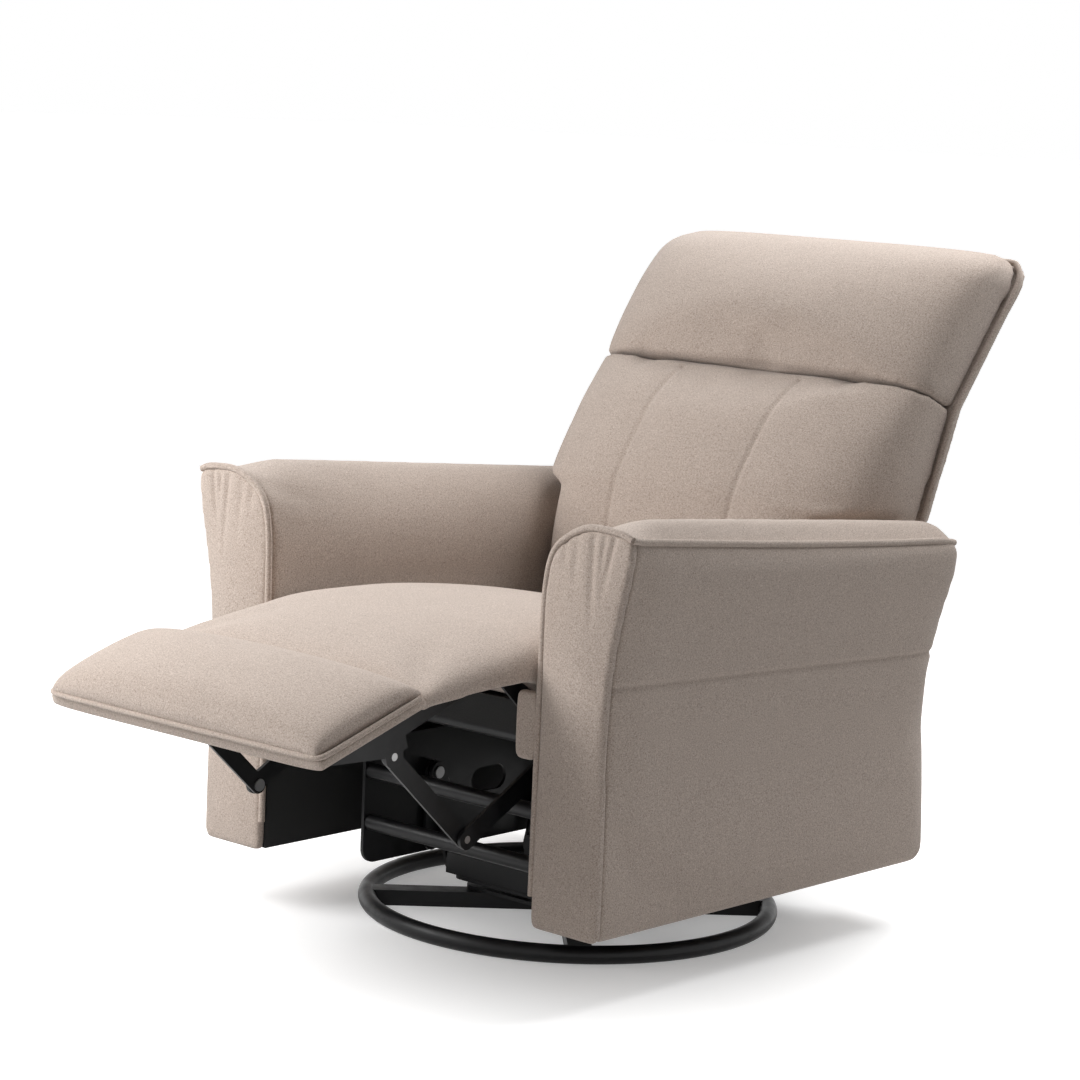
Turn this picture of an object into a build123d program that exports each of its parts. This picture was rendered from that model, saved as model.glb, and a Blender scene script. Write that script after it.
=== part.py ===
"""Swivel glider recliner for a nursery, shown open: leg rest out and back reclined.

Millimetres, +Z up, the chair faces -Y. The origin is on the floor, on the swivel axis.
Pieces on the two sides are made once for +X and mirrored.
"""
import math
import os

from build123d import *

# Driving dimensions: upholstery
SEAT_WIDTH = 500.0            # clear width between the arms
ARM_WIDTH = 108.0             # arm width at its foot
ARM_FLARE = 36.0              # how far the arm top leans out
ARM_FRONT_Y = -363.0
ARM_REAR_Y = 345.0
ARM_FOOT_Z = 84.0
ARM_FRONT_HEIGHT = 601.0      # outer top edge, at the front
ARM_REAR_HEIGHT = 549.0       # outer top edge, at the rear
ARM_CROWN = 20.0              # padding above the outer top edge
FRONT_PANEL_THICK = 14.0
LINER_THICK = 6.0
LINER_TOP_Z = 392.0
SEAT_REAR_Y = 141.0
SEAT_FRONT_Y = -350.0
SEAT_SIDE_GAP = 3.0           # seat cushion to arm
PAD_GAP = 0.4                 # between soft pieces of different bodies
BACK_SIDE_GAP = 6.0           # back cushion to arm
FILLER_WIDTH = 38.0
FILLER_HEIGHT = 92.0
FILLER_CORNER = 22.0
REAR_PANEL_Y = 300.0
REAR_PANEL_THICK = 12.0
REAR_PANEL_FOOT_Z = 100.0
REAR_PANEL_TOP_Z = 268.0

# Driving dimensions: base and swivel
RING_RADIUS = 282.0           # to the middle of the tube
RING_TUBE = 25.0
RING_FLAT = 0.5               # flat worn on the underside, the face it stands on
CROSSBAR_WIDTH = 32.0
CROSSBAR_HEIGHT = 22.0        # its underside is level with the ring's flat
RACE_PLATE_X = 232.0
RACE_PLATE_Y = 190.0
TURN_PLATE_X = 266.0
TURN_PLATE_Y = 200.0
SWIVEL_PLATE_THICK = 5.0
SWIVEL_PLATE_GAP = 6.0
BALL_DIAMETER = 10.0
BALL_COUNT = 12
BALL_CIRCLE = 74.0            # radius of the ball circle
KING_PIN = 20.0
BALL_CLEARANCE = 0.2

# Driving dimensions: glider
GLIDE_PIVOT_Y = 120.0
GLIDE_TOP_Z = 185.0
GLIDE_LINK_LENGTH = 98.0
GLIDE_LINK_WIDTH = 30.0
CARRIAGE_HALF_LENGTH = 250.0
PIN_EDGE = 17.0                  # carriage foot to the low glide pivot
CARRIAGE_TOP_Z = 245.0
CARRIAGE_CORNER = 22.0
CARRIAGE_SLOT_Y = (-115.0, 0.0, 115.0)  # lightening slots
CARRIAGE_SLOT = 36.0             # slot width, and its length between centres
CARRIAGE_TUBE_RISES = (58.0, 130.0)  # above the carriage's foot
CARRIAGE_TUBE_INSET = 12.0       # tube centre to the carriage's end
CROSS_TUBE = 22.0
CHANNEL_Y = 82.0
CHANNEL_WIDTH = 34.0
CHANNEL_HEIGHT = 30.0
CHANNEL_WALL = 4.0

# Driving dimensions: steel plate layers, from the arm inwards
RAIL_WIDTH = 46.0
SIDE_PLATE_THICK = 4.0
PLATE_WINDOW_Y = (-150.0, -40.0, 70.0)  # lightening slots
PLATE_WINDOW_Z = 285.0
PLATE_WINDOW = 26.0              # slot width, and half its length between centres
ARM_LINK_THICK = 5.0          # leg rest arms, cranks and back hinge plates
PUSH_LINK_THICK = 4.5
CARRIAGE_THICK = 5.0
GLIDE_LINK_THICK = 5.0
HANGER_THICK = 5.0
LAYER_GAP = 2.0
GLIDE_GAP = 3.0
BRACKET_REACH = 35.0             # carriage frame to side plate
BRACKET_Y = 120.0
BRACKET_WIDTH = 80.0
BRACKET_HEIGHT = 28.0
BRACKET_DROP = 5.0               # below the carriage's top

# Driving dimensions: leg rest drive
LEG_HINGE = (-381.0, 424.0)   # y, z of the leg rest hinge
DRIVE_AXIS = (-245.0, 300.0)  # y, z of the drive tube
CRANK_REACH = (-179.0, -99.0)  # y, z from the drive axis to the crank pin, leg rest out
LEG_ARM_WIDTH = 26.0
CRANK_WIDTH = 26.0
PUSH_LINK_WIDTH = 24.0
DRIVE_TUBE = 22.0
TUBE_WALL = 2.0
BRIDGE_FRONT_Y = -541.0
BRIDGE_REAR_RADIUS = 30.0
FOOT_BOARD_REAR = (-556.0, 391.0)
FOOT_BOARD_LENGTH = 178.0
FOOT_BOARD_SLOPE = 18.0
FOOT_BOARD_THICK = 20.0
FOOT_PAD_CROWN = 44.0
LEVER_LENGTH = 112.0
LEVER_ANGLE = 60.0            # above straight ahead, leg rest out
LEVER_WIDTH = 24.0
LEVER_THICK = 6.0
GRIP_THICK = 14.0
GRIP_ROUND = 5.0
LEVER_GAP = 5.0               # lever to the arm's outer face

# Driving dimensions: back
BACK_HINGE = (240.0, 360.0)
BACK_REAR_FOOT = (300.0, 312.0)
BACK_REAR_BEND = (447.0, 713.0)
BACK_REAR_TOP = (601.0, 916.0)
BACK_PANEL_THICK = 18.0
PANEL_INSET = 3.0             # rear panel inside the pads' width
BACK_POST_DEPTH = 45.0
BACK_POST_WIDTH = 45.0
BACK_WING = 58.0              # how far each side of the back reaches out over the arms
BACK_WING_Z = 586.0           # rear height from which its pads are wide
PANEL_WING_Z = 556.0          # the rear panel widens lower down, behind the arms
PANEL_WING_RISE = 12.0
BACK_FLARE = 10.0             # what each side gains from the wings to the top
BACK_TOP_Z = 922.0
BACK_CORNER = 40.0            # rounding of the top corners
CHANNEL_X = 105.0             # sewn lines, from the middle
HINGE_RELIEF = 42.0           # radius kept clear round the back hinge

# Fits
PIN_CLEARANCE = 0.1           # radial, running
SEATED_CLEARANCE = 0.05       # radial, pins that stay put
PIN_DIAMETER = 10.0
PIN_HEAD = 17.0
HEAD_THICK = 2.0
END_PLAY = 0.3                # along a pin, between its head and a moving plate
SLOT_CLEARANCE = 1.3          # steel plate to the slot it moves in
TUBE_BORE_CLEARANCE = 0.1
ARM_BORE_CLEARANCE = 2.0

# Layers worked out from the arm inwards, +X side
ARM_X = SEAT_WIDTH / 2
FOOT_HALF_WIDTH = ARM_X - SEAT_SIDE_GAP
BACK_NARROW = ARM_X - BACK_SIDE_GAP
PLATE_OUTER = ARM_X - RAIL_WIDTH
PLATE_INNER = PLATE_OUTER - SIDE_PLATE_THICK
LINK_OUTER = PLATE_INNER - LAYER_GAP
LINK_INNER = LINK_OUTER - ARM_LINK_THICK
PUSH_OUTER = LINK_INNER - LAYER_GAP
PUSH_INNER = PUSH_OUTER - PUSH_LINK_THICK
CARRIAGE_OUTER = PLATE_INNER - BRACKET_REACH
CARRIAGE_INNER_X = CARRIAGE_OUTER - CARRIAGE_THICK
GLIDE_OUTER = CARRIAGE_INNER_X - GLIDE_GAP
GLIDE_INNER = GLIDE_OUTER - GLIDE_LINK_THICK
HANGER_OUTER = GLIDE_INNER - GLIDE_GAP
HANGER_INNER = HANGER_OUTER - HANGER_THICK

# Heights worked out from the floor up
RING_Z = RING_TUBE / 2 - RING_FLAT
CROSSBAR_TOP = CROSSBAR_HEIGHT
RACE_TOP = CROSSBAR_TOP + SWIVEL_PLATE_THICK
TURN_BOTTOM = RACE_TOP + SWIVEL_PLATE_GAP
TURN_TOP = TURN_BOTTOM + SWIVEL_PLATE_THICK
BALL_Z = (RACE_TOP + TURN_BOTTOM) / 2
GLIDE_LOW_Z = GLIDE_TOP_Z - GLIDE_LINK_LENGTH
CARRIAGE_FOOT_Z = GLIDE_LOW_Z - PIN_EDGE

# Pivots worked out from the drive
CRANK_PIN = (DRIVE_AXIS[0] + CRANK_REACH[0], DRIVE_AXIS[1] + CRANK_REACH[1])
PUSH_PIN = (LEG_HINGE[0] + CRANK_REACH[0], LEG_HINGE[1] + CRANK_REACH[1])
SLOPE = math.radians(FOOT_BOARD_SLOPE)
BOARD_ALONG = (-math.cos(SLOPE), -math.sin(SLOPE))
BOARD_UP = (-math.sin(SLOPE), math.cos(SLOPE))

# Top of the side rails, which the seat cushion rests on
RAIL_FRONT_Y = -300.0
RAIL_REAR_Y = 250.0
RAIL_FOOT_Z = 222.0
SEAT_BASE_FRONT_Z = 358.0
SEAT_BASE_SLOPE = 0.088
SEAT_RAIL_DEPTH = 38.0
SEAT_RAIL_HEIGHT = 40.0


def seat_base_z(y):
    """Height of the seat frame's top at a given depth."""
    return SEAT_BASE_FRONT_Z - SEAT_BASE_SLOPE * (y - RAIL_FRONT_Y)


def slab(face, x_from, x_to):
    """Extrude a face drawn in y, z from one x to another."""
    return extrude(Plane.YZ.offset(x_from) * face, amount=x_to - x_from)


def outline(*points):
    """Polygon face through y, z points."""
    return make_face(Polyline(*points, close=True))


def strip(start, end, width):
    """Round-ended bar between two y, z points."""
    middle = ((start[0] + end[0]) / 2, (start[1] + end[1]) / 2)
    length = math.dist(start, end)
    angle = math.degrees(math.atan2(end[1] - start[1], end[0] - start[0]))
    return Pos(*middle) * Rot(0, 0, angle) * SlotCenterToCenter(length, width)


def disc(centre, diameter):
    """Round face at a y, z point."""
    return Pos(*centre) * Circle(diameter / 2)


def rod(centre, diameter, x_from, x_to):
    """Round bar along X at a y, z point."""
    return slab(disc(centre, diameter), x_from, x_to)


def tube(centre, diameter, x_from, x_to):
    """Round tube along X at a y, z point."""
    return slab(disc(centre, diameter) - disc(centre, diameter - 2 * TUBE_WALL), x_from, x_to)


def pin(centre, x_from, x_to, head_at=()):
    """Pin along X with flat heads between the given pairs of x values."""
    body = rod(centre, PIN_DIAMETER, x_from, x_to)
    for head_from, head_to in head_at:
        body += rod(centre, PIN_HEAD, head_from, head_to)
    return body


def block(x_from, x_to, y_from, y_to, z_from, z_to):
    """Box between two corners."""
    size = (x_to - x_from, y_to - y_from, z_to - z_from)
    centre = ((x_from + x_to) / 2, (y_from + y_to) / 2, (z_from + z_to) / 2)
    return Pos(*centre) * Box(*size)


def other_side(shape):
    """The same piece on the -X side."""
    return mirror(shape, about=Plane.YZ)


def both_sides(*shapes):
    """Group of separate solids: the +X ones and their mirrored copies."""
    pairs = [*shapes, *[other_side(shape) for shape in shapes]]
    return Compound([solid for shape in pairs for solid in shape.solids()])


def group(shapes):
    """Separate solids kept together in one node."""
    return Compound([solid for shape in shapes for solid in shape.solids()])


def lofted(sections):
    """Closed form through sections that are lists of lines and arcs."""
    wires = []
    for section in sections:
        edges = []
        for points in section:
            make = Edge.make_line if len(points) == 2 else Edge.make_three_point_arc
            edges.append(make(*points))
        wires.append(Wire(edges))
    return Solid.make_loft(wires)


def pad_section(place, half_base, half_top, side_bulge, base, edge, crown):
    """Flat-based section with drawn-in sides and a crowned top; place(x, h) gives a 3-D point."""
    middle = (base + edge) / 2
    bulge = max(half_base, half_top) + side_bulge
    return [
        (place(-half_base, base), place(half_base, base)),
        (place(half_base, base), place(bulge, middle), place(half_top, edge)),
        (place(half_top, edge), place(0, edge + crown), place(-half_top, edge)),
        (place(-half_top, edge), place(-bulge, middle), place(-half_base, base)),
    ]


def upright(y):
    """Placing function for a section that stands square to Y."""
    return lambda x, h: (x, y, h)


def base_ring():
    """Round floor ring with a flat underside."""
    ring = Pos(0, 0, RING_Z) * Torus(RING_RADIUS, RING_TUBE / 2)
    return ring - block(-400, 400, -400, 400, -RING_TUBE, 0)


def base_cross():
    """Two crossed bars, coped to the ring's tube."""
    reach = 2 * RING_RADIUS
    bar = Pos(0, 0, CROSSBAR_HEIGHT / 2) * Box(reach, CROSSBAR_WIDTH, CROSSBAR_HEIGHT)
    cross = Rot(0, 0, 45) * bar + Rot(0, 0, -45) * bar
    return cross - Pos(0, 0, RING_Z) * Torus(RING_RADIUS, RING_TUBE / 2)


def swivel_plate(size_x, size_y, z_from):
    """Pressed plate of the swivel with its ball groove and pin bore."""
    plate = extrude(Pos(0, 0, z_from) * RectangleRounded(size_x, size_y, 18), amount=SWIVEL_PLATE_THICK)
    groove = Pos(0, 0, BALL_Z) * Torus(BALL_CIRCLE, BALL_DIAMETER / 2 + BALL_CLEARANCE)
    bore = Pos(0, 0, z_from) * Cylinder(KING_PIN / 2 + PIN_CLEARANCE, 4 * SWIVEL_PLATE_THICK)
    return plate - groove - bore


def swivel_balls():
    """Ring of bearing balls."""
    spots = PolarLocations(BALL_CIRCLE, BALL_COUNT)
    return group([Pos(0, 0, BALL_Z) * spot * Sphere(BALL_DIAMETER / 2) for spot in spots])


def king_pin():
    """Pin that holds the swivel plates together, with its nut above."""
    nut_height = 10.0
    nut_gap = 0.3
    shank = Pos(0, 0, CROSSBAR_TOP) * Cylinder(
        KING_PIN / 2, TURN_TOP + nut_height - CROSSBAR_TOP, align=(Align.CENTER, Align.CENTER, Align.MIN))
    hexagon = Pos(0, 0, TURN_TOP + nut_gap) * RegularPolygon(KING_PIN * 0.9, 6)
    nut = extrude(hexagon, amount=nut_height - nut_gap)
    return shank + nut


def glider_channel(y):
    """Cross channel of the glider's lower frame, open at the bottom."""
    low, high = TURN_TOP, TURN_TOP + CHANNEL_HEIGHT
    half = CHANNEL_WIDTH / 2
    outer = block(-HANGER_INNER, HANGER_INNER, y - half, y + half, low, high)
    hollow = block(-HANGER_INNER, HANGER_INNER, y - half + CHANNEL_WALL, y + half - CHANNEL_WALL,
                   low, high - CHANNEL_WALL)
    return outer - hollow


def glider_hangers():
    """Two leaning posts on one side that carry the top glide pivots."""
    posts = []
    for end in (-1, 1):
        foot = (end * CHANNEL_Y, TURN_TOP + CHANNEL_HEIGHT / 2)
        top = (end * GLIDE_PIVOT_Y, GLIDE_TOP_Z)
        face = strip(foot, top, CHANNEL_HEIGHT) - disc(top, PIN_DIAMETER + 2 * SEATED_CLEARANCE)
        posts.append(slab(face, HANGER_INNER, HANGER_OUTER))
    return posts


def glide_top_pin(y):
    """Shoulder pin through a hanger, with the link running on its outer end."""
    centre = (y, GLIDE_TOP_Z)
    outer_head = GLIDE_OUTER + END_PLAY
    heads = [(HANGER_INNER - HEAD_THICK, HANGER_INNER), (HANGER_OUTER, GLIDE_INNER - END_PLAY),
             (outer_head, outer_head + HEAD_THICK)]
    return pin(centre, heads[0][0], heads[2][1], heads)


def glide_link(y):
    """Swinging link between a hanger and the carriage."""
    top, low = (y, GLIDE_TOP_Z), (y, GLIDE_LOW_Z)
    bore = PIN_DIAMETER + 2 * PIN_CLEARANCE
    face = strip(top, low, GLIDE_LINK_WIDTH) - disc(top, bore) - disc(low, bore)
    return slab(face, GLIDE_INNER, GLIDE_OUTER)


def glide_low_pin(y):
    """Shoulder pin through the carriage, with the link running on its inner end."""
    centre = (y, GLIDE_LOW_Z)
    inner_head = GLIDE_INNER - END_PLAY
    heads = [(inner_head - HEAD_THICK, inner_head), (GLIDE_OUTER + END_PLAY, CARRIAGE_INNER_X),
             (CARRIAGE_OUTER, CARRIAGE_OUTER + HEAD_THICK)]
    return pin(centre, heads[0][0], heads[2][1], heads)


def carriage_frame():
    """Stamped side of the carriage, with lightening slots, that hangs on the glide links."""
    height = CARRIAGE_TOP_Z - CARRIAGE_FOOT_Z
    middle_z = (CARRIAGE_TOP_Z + CARRIAGE_FOOT_Z) / 2
    face = Pos(0, middle_z) * RectangleRounded(2 * CARRIAGE_HALF_LENGTH, height, CARRIAGE_CORNER)
    for y in CARRIAGE_SLOT_Y:
        face -= Pos(y, middle_z) * SlotCenterToCenter(CARRIAGE_SLOT, CARRIAGE_SLOT)
    for y in (-GLIDE_PIVOT_Y, GLIDE_PIVOT_Y):
        face -= disc((y, GLIDE_LOW_Z), PIN_DIAMETER + 2 * SEATED_CLEARANCE)
    return slab(face, CARRIAGE_INNER_X, CARRIAGE_OUTER)


def carriage_tubes(y):
    """Two cross tubes between the carriage frames at one end."""
    heights = [CARRIAGE_FOOT_Z + rise for rise in CARRIAGE_TUBE_RISES]
    return group([tube((y, z), CROSS_TUBE, -CARRIAGE_INNER_X, CARRIAGE_INNER_X) for z in heights])


def carriage_brackets():
    """Folded brackets from the carriage frame out to the side plate."""
    high = CARRIAGE_TOP_Z - BRACKET_DROP
    low = high - BRACKET_HEIGHT
    wall = CHANNEL_WALL
    brackets = []
    for y in (-BRACKET_Y, BRACKET_Y):
        front, rear = y - BRACKET_WIDTH / 2, y + BRACKET_WIDTH / 2
        outer = block(CARRIAGE_OUTER, PLATE_INNER, front, rear, low, high)
        hollow = block(CARRIAGE_OUTER + wall, PLATE_INNER - wall, front, rear, low, high - wall)
        brackets.append(outer - hollow)
    return brackets


def side_plate():
    """Stamped side plate: nose to the leg rest hinge, ear to the back hinge, body between."""
    face = outline((-292, 212), (188, 206), (188, 300), (-270, 338), (-292, 300))
    face += strip((-262, 315), LEG_HINGE, 42) + strip((158, 262), BACK_HINGE, 52)
    for y in PLATE_WINDOW_Y:
        face -= Pos(y, PLATE_WINDOW_Z) * SlotCenterToCenter(2 * PLATE_WINDOW, PLATE_WINDOW)
    face -= disc(LEG_HINGE, PIN_DIAMETER + 2 * SEATED_CLEARANCE)
    face -= disc(BACK_HINGE, PIN_DIAMETER + 2 * SEATED_CLEARANCE)
    face -= disc(DRIVE_AXIS, DRIVE_TUBE + 2 * TUBE_BORE_CLEARANCE)
    return slab(face, PLATE_INNER, PLATE_OUTER)


def side_rail():
    """Hardwood rail between side plate and arm; its top follows the seat's slope."""
    face = outline((RAIL_FRONT_Y, RAIL_FOOT_Z), (RAIL_REAR_Y - 60, RAIL_FOOT_Z), (RAIL_REAR_Y - 60, 262),
                   (SEAT_REAR_Y - 5, seat_base_z(SEAT_REAR_Y - 5)), (RAIL_FRONT_Y, seat_base_z(RAIL_FRONT_Y)))
    return slab(face, PLATE_OUTER, ARM_X) - rod(
        DRIVE_AXIS, DRIVE_TUBE + 2 * ARM_BORE_CLEARANCE, PLATE_OUTER, ARM_X)


def seat_cross_rail(y_from):
    """Hardwood rail across the seat frame, between the side plates."""
    y_to = y_from + SEAT_RAIL_DEPTH
    foot = seat_base_z(y_to) - SEAT_RAIL_HEIGHT
    face = outline((y_from, seat_base_z(y_from)), (y_to, seat_base_z(y_to)), (y_to, foot), (y_from, foot))
    return slab(face, -PLATE_INNER, PLATE_INNER)


def hinge_slots(y_from, y_to, z_top):
    """Room in the pads for the side plate's nose, the leg rest arm and its hinge pin."""
    inner = LINK_INNER - HEAD_THICK - 2 * SLOT_CLEARANCE
    slot = block(inner, PLATE_OUTER + SLOT_CLEARANCE, y_from, y_to, DRIVE_AXIS[1], z_top)
    return [slot, other_side(slot)]


def stem_slots(y_from, y_to, z_top):
    """Close-fitting slots in the bridge pad, which sits on the leg rest arms."""
    slot = block(LINK_INNER - PAD_GAP, LINK_OUTER + PAD_GAP, y_from, y_to, DRIVE_AXIS[1], z_top)
    return [slot, other_side(slot)]


def seat_cushion():
    """Crowned seat pad that slopes down to the rear."""
    half = ARM_X - SEAT_SIDE_GAP
    stations = [(SEAT_REAR_Y, 388, 8), (SEAT_REAR_Y - 30, 408, 12), (0, 430, 17), (-120, 452, 18),
                (-250, 464, 16), (SEAT_FRONT_Y, 463, 14)]
    sections = [pad_section(upright(y), half - 5, half - 8, 5, seat_base_z(y), edge, crown)
                for y, edge, crown in stations]
    pad = lofted(sections)
    for slot in hinge_slots(SEAT_FRONT_Y - 20, RAIL_FRONT_Y + 40, LEG_HINGE[1] + 26):
        pad -= slot
    return pad


def bridge_pad():
    """Crowned pad from the seat to the foot pad, rounded about the leg rest hinge at its rear."""
    half = FOOT_HALF_WIDTH
    rear = LEG_HINGE[0]
    stations = [(rear + 1.0, 402, 458, 16), (rear - 60, 408, 442, 18), (rear - 110, 402, 428, 17),
                (BRIDGE_FRONT_Y, 388, 411, 8)]
    sections = [pad_section(upright(y), half - 6, half - 8, 4, base, edge, crown)
                for y, base, edge, crown in stations]
    pad = lofted(sections)
    reach = 2 * BRIDGE_REAR_RADIUS
    front_half = Pos(rear + 1 - reach / 2, LEG_HINGE[1]) * Rectangle(reach, 2 * reach)
    pad += slab(disc(LEG_HINGE, 2 * BRIDGE_REAR_RADIUS) - front_half, -half + 8, half - 8)
    eye_slots = hinge_slots(rear - 44, rear + 40, LEG_HINGE[1] + 25)
    for slot in eye_slots + stem_slots(rear - 110, rear - 44, LEG_HINGE[1]):
        pad -= slot
    return pad


def board_point(along, up):
    """Point y, z in the foot board's own directions, from its lower rear edge."""
    return (FOOT_BOARD_REAR[0] + along * BOARD_ALONG[0] + up * BOARD_UP[0],
            FOOT_BOARD_REAR[1] + along * BOARD_ALONG[1] + up * BOARD_UP[1])


def on_board(along):
    """Placing function for a section that stands square on the foot board's top."""
    return lambda x, h: (x, *board_point(along, FOOT_BOARD_THICK + h))


def foot_board():
    """Covered board under the foot pad."""
    face = outline(board_point(0, 0), board_point(FOOT_BOARD_LENGTH, 0),
                   board_point(FOOT_BOARD_LENGTH, FOOT_BOARD_THICK), board_point(0, FOOT_BOARD_THICK))
    return slab(face, -FOOT_HALF_WIDTH, FOOT_HALF_WIDTH)


def foot_pad():
    """Crowned foot pad on its board, thin at both ends."""
    stations = [(0, 5, 2), (26, 22, 12), (80, 26, FOOT_PAD_CROWN - 26), (140, 24, 16),
                (FOOT_BOARD_LENGTH, 6, 3)]
    half = FOOT_HALF_WIDTH
    return lofted([pad_section(on_board(along), half - 8, half - 14, 4, 0, edge, crown)
                   for along, edge, crown in stations])


def leg_arm():
    """Leg rest arm: hinge eye, stem, and the bracket under the foot board with its flange."""
    knee = board_point(2, -30)
    bracket = outline(board_point(0, 0), board_point(150, 0), board_point(150, -16), board_point(30, -60),
                      board_point(0, -60))
    face = strip(LEG_HINGE, knee, LEG_ARM_WIDTH) + bracket + disc(PUSH_PIN, 30)
    face -= disc(LEG_HINGE, PIN_DIAMETER + 2 * PIN_CLEARANCE)
    face -= disc(PUSH_PIN, PIN_DIAMETER + 2 * SEATED_CLEARANCE)
    arm = slab(face, LINK_INNER, LINK_OUTER)
    flange = outline(board_point(20, 0), board_point(150, 0), board_point(150, -3), board_point(20, -3))
    return arm + slab(flange, LINK_INNER - 24, LINK_INNER)


def hinge_pin(centre):
    """Hinge pin fixed in the side plate, with one moving plate running on it."""
    inner_head = LINK_INNER - END_PLAY
    heads = [(inner_head - HEAD_THICK, inner_head), (LINK_OUTER + END_PLAY, PLATE_INNER)]
    return pin(centre, heads[0][0], PLATE_OUTER, heads)


def crank():
    """Crank on the drive tube."""
    face = strip(DRIVE_AXIS, CRANK_PIN, CRANK_WIDTH) + disc(DRIVE_AXIS, DRIVE_TUBE + 18)
    face -= disc(DRIVE_AXIS, DRIVE_TUBE + 2 * SEATED_CLEARANCE)
    face -= disc(CRANK_PIN, PIN_DIAMETER + 2 * SEATED_CLEARANCE)
    return slab(face, LINK_INNER, LINK_OUTER)


def push_link():
    """Link from the crank pin up to the leg rest arm."""
    bore = PIN_DIAMETER + 2 * PIN_CLEARANCE
    face = strip(CRANK_PIN, PUSH_PIN, PUSH_LINK_WIDTH) - disc(CRANK_PIN, bore) - disc(PUSH_PIN, bore)
    return slab(face, PUSH_INNER, PUSH_OUTER)


def link_rivet(centre):
    """Rivet fixed in the outer layer, with the push link running on it."""
    heads = [(PUSH_INNER - END_PLAY - HEAD_THICK, PUSH_INNER - END_PLAY), (PUSH_OUTER + END_PLAY, LINK_INNER)]
    return pin(centre, heads[0][0], LINK_OUTER, heads)


def lever_x():
    """Inner face of the release lever, -X side."""
    return -(ARM_X + ARM_WIDTH + LEVER_GAP)


def drive_tube():
    """Tube that joins both cranks and carries the release lever on the -X side."""
    return tube(DRIVE_AXIS, DRIVE_TUBE, lever_x() - LEVER_THICK, PLATE_OUTER + 6)


def lever_tip():
    """Centre of the release lever's far end."""
    turn = math.radians(LEVER_ANGLE)
    return (DRIVE_AXIS[0] - LEVER_LENGTH * math.cos(turn), DRIVE_AXIS[1] + LEVER_LENGTH * math.sin(turn))


def release_lever():
    """Flat lever on the tube's end."""
    face = strip(DRIVE_AXIS, lever_tip(), LEVER_WIDTH) + disc(DRIVE_AXIS, DRIVE_TUBE + 16)
    face -= disc(DRIVE_AXIS, DRIVE_TUBE + 2 * SEATED_CLEARANCE)
    return slab(face, lever_x() - LEVER_THICK, lever_x())


def lever_grip():
    """Moulded grip on the outside of the lever."""
    middle = ((DRIVE_AXIS[0] + lever_tip()[0]) / 2, (DRIVE_AXIS[1] + lever_tip()[1]) / 2)
    seat_x = lever_x() - LEVER_THICK
    grip = slab(strip(middle, lever_tip(), LEVER_WIDTH + 4), seat_x - GRIP_THICK, seat_x)
    outer_edges = grip.faces().sort_by(Axis.X)[0].edges()
    return fillet(outer_edges, GRIP_ROUND)


def arm_section(y, rise):
    """Arm outline at one depth; rise is how far the top stands above the front's foot."""
    inner, outer, lip = ARM_X, ARM_X + ARM_WIDTH, ARM_X + ARM_WIDTH + ARM_FLARE
    top = rise
    return [
        ((inner, y, ARM_FOOT_Z), (outer, y, ARM_FOOT_Z)),
        ((outer, y, ARM_FOOT_Z), (outer + 2, y, top - 190)),
        ((outer + 2, y, top - 190), (outer + 10, y, top - 108), (lip - 2, y, top - 34)),
        ((lip - 2, y, top - 34), (lip, y, top)),
        ((lip, y, top), (inner + 84, y, top + ARM_CROWN), (inner + 24, y, top - 14)),
        ((inner + 24, y, top - 14), (inner + 6, y, top - 42), (inner, y, top - 78)),
        ((inner, y, top - 78), (inner, y, ARM_FOOT_Z)),
    ]


def arm_height(y):
    """Height of the arm's outer top edge at a given depth."""
    share = (y - ARM_FRONT_Y) / (ARM_REAR_Y - ARM_FRONT_Y)
    return ARM_FRONT_HEIGHT + share * (ARM_REAR_HEIGHT - ARM_FRONT_HEIGHT)


def arm_body(y_from, y_to):
    """Length of the padded arm between two depths."""
    return lofted([arm_section(y_from, arm_height(y_from)), arm_section(y_to, arm_height(y_to))])


def arm_liner():
    """Black board on the arm's inner face, below the seat."""
    y_from = ARM_FRONT_Y + FRONT_PANEL_THICK
    return block(ARM_X, ARM_X + LINER_THICK, y_from, ARM_REAR_Y - 12, ARM_FOOT_Z + 6, LINER_TOP_Z)


def arm_pad():
    """Padded arm behind its front panel, recessed for the liner."""
    return arm_body(ARM_FRONT_Y + FRONT_PANEL_THICK, ARM_REAR_Y) - arm_liner()


def lever_bore():
    """Bore through the -X arm for the drive tube."""
    return rod(DRIVE_AXIS, DRIVE_TUBE + 2 * ARM_BORE_CLEARANCE, -(ARM_X + ARM_WIDTH + ARM_FLARE), -ARM_X)


def inner_filler():
    """Covered filler on the arm's inner face beside the leg rest."""
    middle = (ARM_X - FILLER_WIDTH / 2, LINER_TOP_Z - FILLER_HEIGHT / 2)
    face = Pos(*middle) * Rectangle(FILLER_WIDTH, FILLER_HEIGHT)
    face = fillet(face.vertices().sort_by(Axis.Y)[:2].sort_by(Axis.X)[:1], FILLER_CORNER)
    rear_y = SEAT_FRONT_Y - PAD_GAP
    return extrude(Plane.XZ.offset(-rear_y) * face, amount=rear_y - ARM_FRONT_Y)


def rear_panel():
    """Covered board between the arms at the rear."""
    rear_y = REAR_PANEL_Y + REAR_PANEL_THICK
    return block(-ARM_X, ARM_X, REAR_PANEL_Y, rear_y, REAR_PANEL_FOOT_Z, REAR_PANEL_TOP_Z)


def rear_line_y(z):
    """Depth of the back's rear face at a given height."""
    low, high = (BACK_REAR_FOOT, BACK_REAR_BEND) if z < BACK_REAR_BEND[1] else (BACK_REAR_BEND, BACK_REAR_TOP)
    return low[0] + (z - low[1]) * (high[0] - low[0]) / (high[1] - low[1])


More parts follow.
